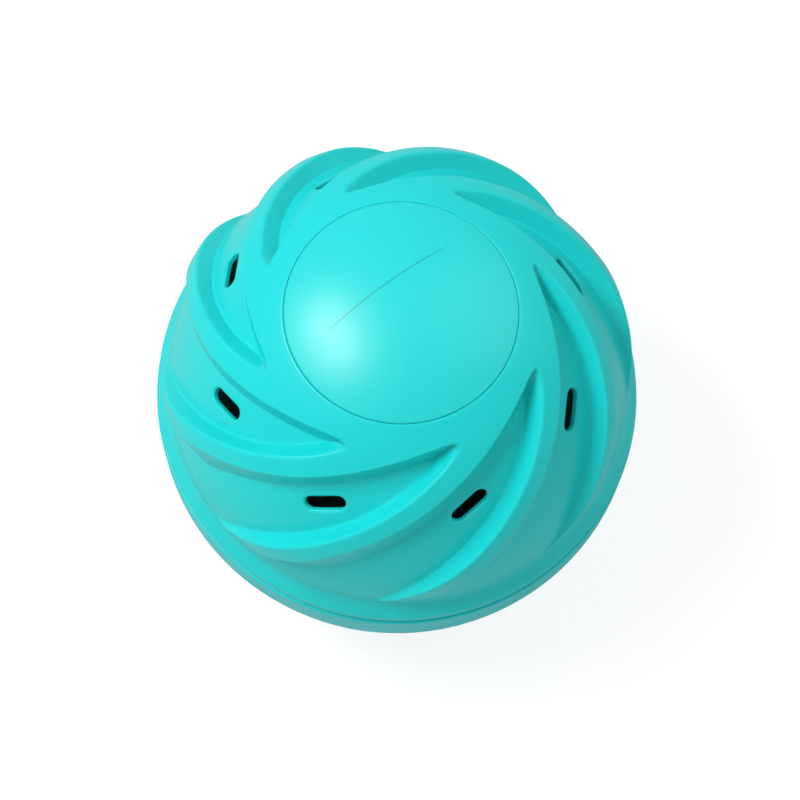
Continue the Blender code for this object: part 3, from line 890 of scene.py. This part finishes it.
arc_darkened_plastic = moulded_plastic("turquoise_arc_darkened_disc_plastic", gloss=0.37, flow=0.05, shine=0.50)
darken_along_hairline_arc(arc_darkened_plastic)
upper_disc = cover_disc("pressed_top_disc", arc_darkened_plastic)
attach(upper_disc, "upper_half")
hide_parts("top_disc")


# Studio
# A plain pale floor under the ball, a soft strip lamp overhead to the left, a broad weak lamp behind to
# the right, an even white world, and a long lens high above the front.

FLOOR_REACH = 3.0
FLOOR_ROUGHNESS = 0.9
FLOOR_GREY = 0.25
FLOOR_SCATTER = 0.65
FLOOR_MIRROR = 0.25
FLOOR_GLOW = 0.82
WORLD_LIGHT = 0.42

floor_height = cad_box[0][2]
floor_mesh = bpy.data.meshes.new("studio_floor")
floor_mesh.from_pydata(
    [(x * FLOOR_REACH, y * FLOOR_REACH, floor_height) for x, y in ((-1, -1), (1, -1), (1, 1), (-1, 1))],
    [],
    [(0, 1, 2, 3)],
)

# Looked at, the floor is a grey that glows nearly to white, so the ball's shadow on it stays soft. The
# ball itself meets a paler floor: its grey plus the scatter in soft light, or plus the mirror in gloss.
floor_paint = bpy.data.materials.new("studio_floor_paint")
floor_paint.use_nodes = True
paint = floor_paint.node_tree
seen = paint.nodes.new("ShaderNodeLightPath").outputs
scattered = worked_out(paint, "MULTIPLY_ADD", seen["Is Diffuse Ray"], FLOOR_SCATTER, FLOOR_GREY)
paleness = worked_out(paint, "MULTIPLY_ADD", seen["Is Glossy Ray"], FLOOR_MIRROR, scattered)
glow = worked_out(paint, "MULTIPLY", seen["Is Camera Ray"], FLOOR_GLOW)
shader = paint.nodes["Principled BSDF"]
shader.inputs["Roughness"].default_value = FLOOR_ROUGHNESS
shader.inputs["Emission Color"].default_value = (1.0, 1.0, 1.0, 1.0)
paint.links.new(paleness, shader.inputs["Base Color"])
paint.links.new(glow, shader.inputs["Emission Strength"])
floor_mesh.materials.append(floor_paint)
studio_floor = bpy.data.objects.new("studio_floor", floor_mesh)
bpy.context.scene.collection.objects.link(studio_floor)


def soft_lamp(name, place, size, turn, power):
    """A rectangular lamp at a place, facing the ball's centre, its long side turned out of level."""
    light = bpy.data.lights.new(name, "AREA")
    light.shape = "RECTANGLE"
    light.size, light.size_y = size
    light.energy = power
    lamp = bpy.data.objects.new(name, light)
    lamp.location = place
    facing = (-Vector(place)).to_track_quat("-Z", "Y").to_matrix()
    lamp.rotation_euler = (facing @ Matrix.Rotation(np.radians(turn), 3, "Z")).to_euler()
    bpy.context.scene.collection.objects.link(lamp)


soft_lamp("soft_overhead_lamp", (-0.42, 0.06, 0.75), size=(0.42, 0.15), turn=35.0, power=5.4)
soft_lamp("soft_back_lamp", (0.45, 0.25, 0.60), size=(0.60, 0.60), turn=0.0, power=1.0)

# The world lights the ball as a pale grey, and is white where the camera looks past the floor.
world = bpy.data.worlds.new("studio_world")
world.use_nodes = True
backdrop = world.node_tree.nodes["Background"].inputs
backdrop["Color"].default_value = (1.0, 1.0, 1.0, 1.0)
looked_at = world.node_tree.nodes.new("ShaderNodeLightPath").outputs["Is Camera Ray"]
strength = worked_out(world.node_tree, "MULTIPLY_ADD", looked_at, 1.0 - WORLD_LIGHT, WORLD_LIGHT)
world.node_tree.links.new(strength, backdrop["Strength"])
bpy.context.scene.world = world

CAMERA_TILT = np.radians(18.0)
CAMERA_ROLL = np.radians(3.03)
CAMERA_DISTANCE = 0.47045
FOCAL_PIXELS = 2280.0
IMAGE_PIXELS = 800.0
SENSOR_WIDTH = 36.0
CAMERA_SHIFT = (0.0035, -0.0152)

view = Vector((0.0, -np.sin(CAMERA_TILT), np.cos(CAMERA_TILT)))
level = Vector((1.0, 0.0, 0.0))
right = level * np.cos(CAMERA_ROLL) + view.cross(level) * np.sin(CAMERA_ROLL)
up = view.cross(right)
camera_data = bpy.data.cameras.new("camera")
camera_data.sensor_width = SENSOR_WIDTH
camera_data.lens = FOCAL_PIXELS / IMAGE_PIXELS * SENSOR_WIDTH
camera_data.shift_x, camera_data.shift_y = CAMERA_SHIFT
camera = bpy.data.objects.new("camera", camera_data)
turned = Matrix((right, up, view)).transposed().to_4x4()
camera.matrix_world = Matrix.Translation(view * CAMERA_DISTANCE) @ turned
bpy.context.scene.collection.objects.link(camera)
bpy.context.scene.camera = camera
bpy.context.scene.view_settings.view_transform = "Standard"
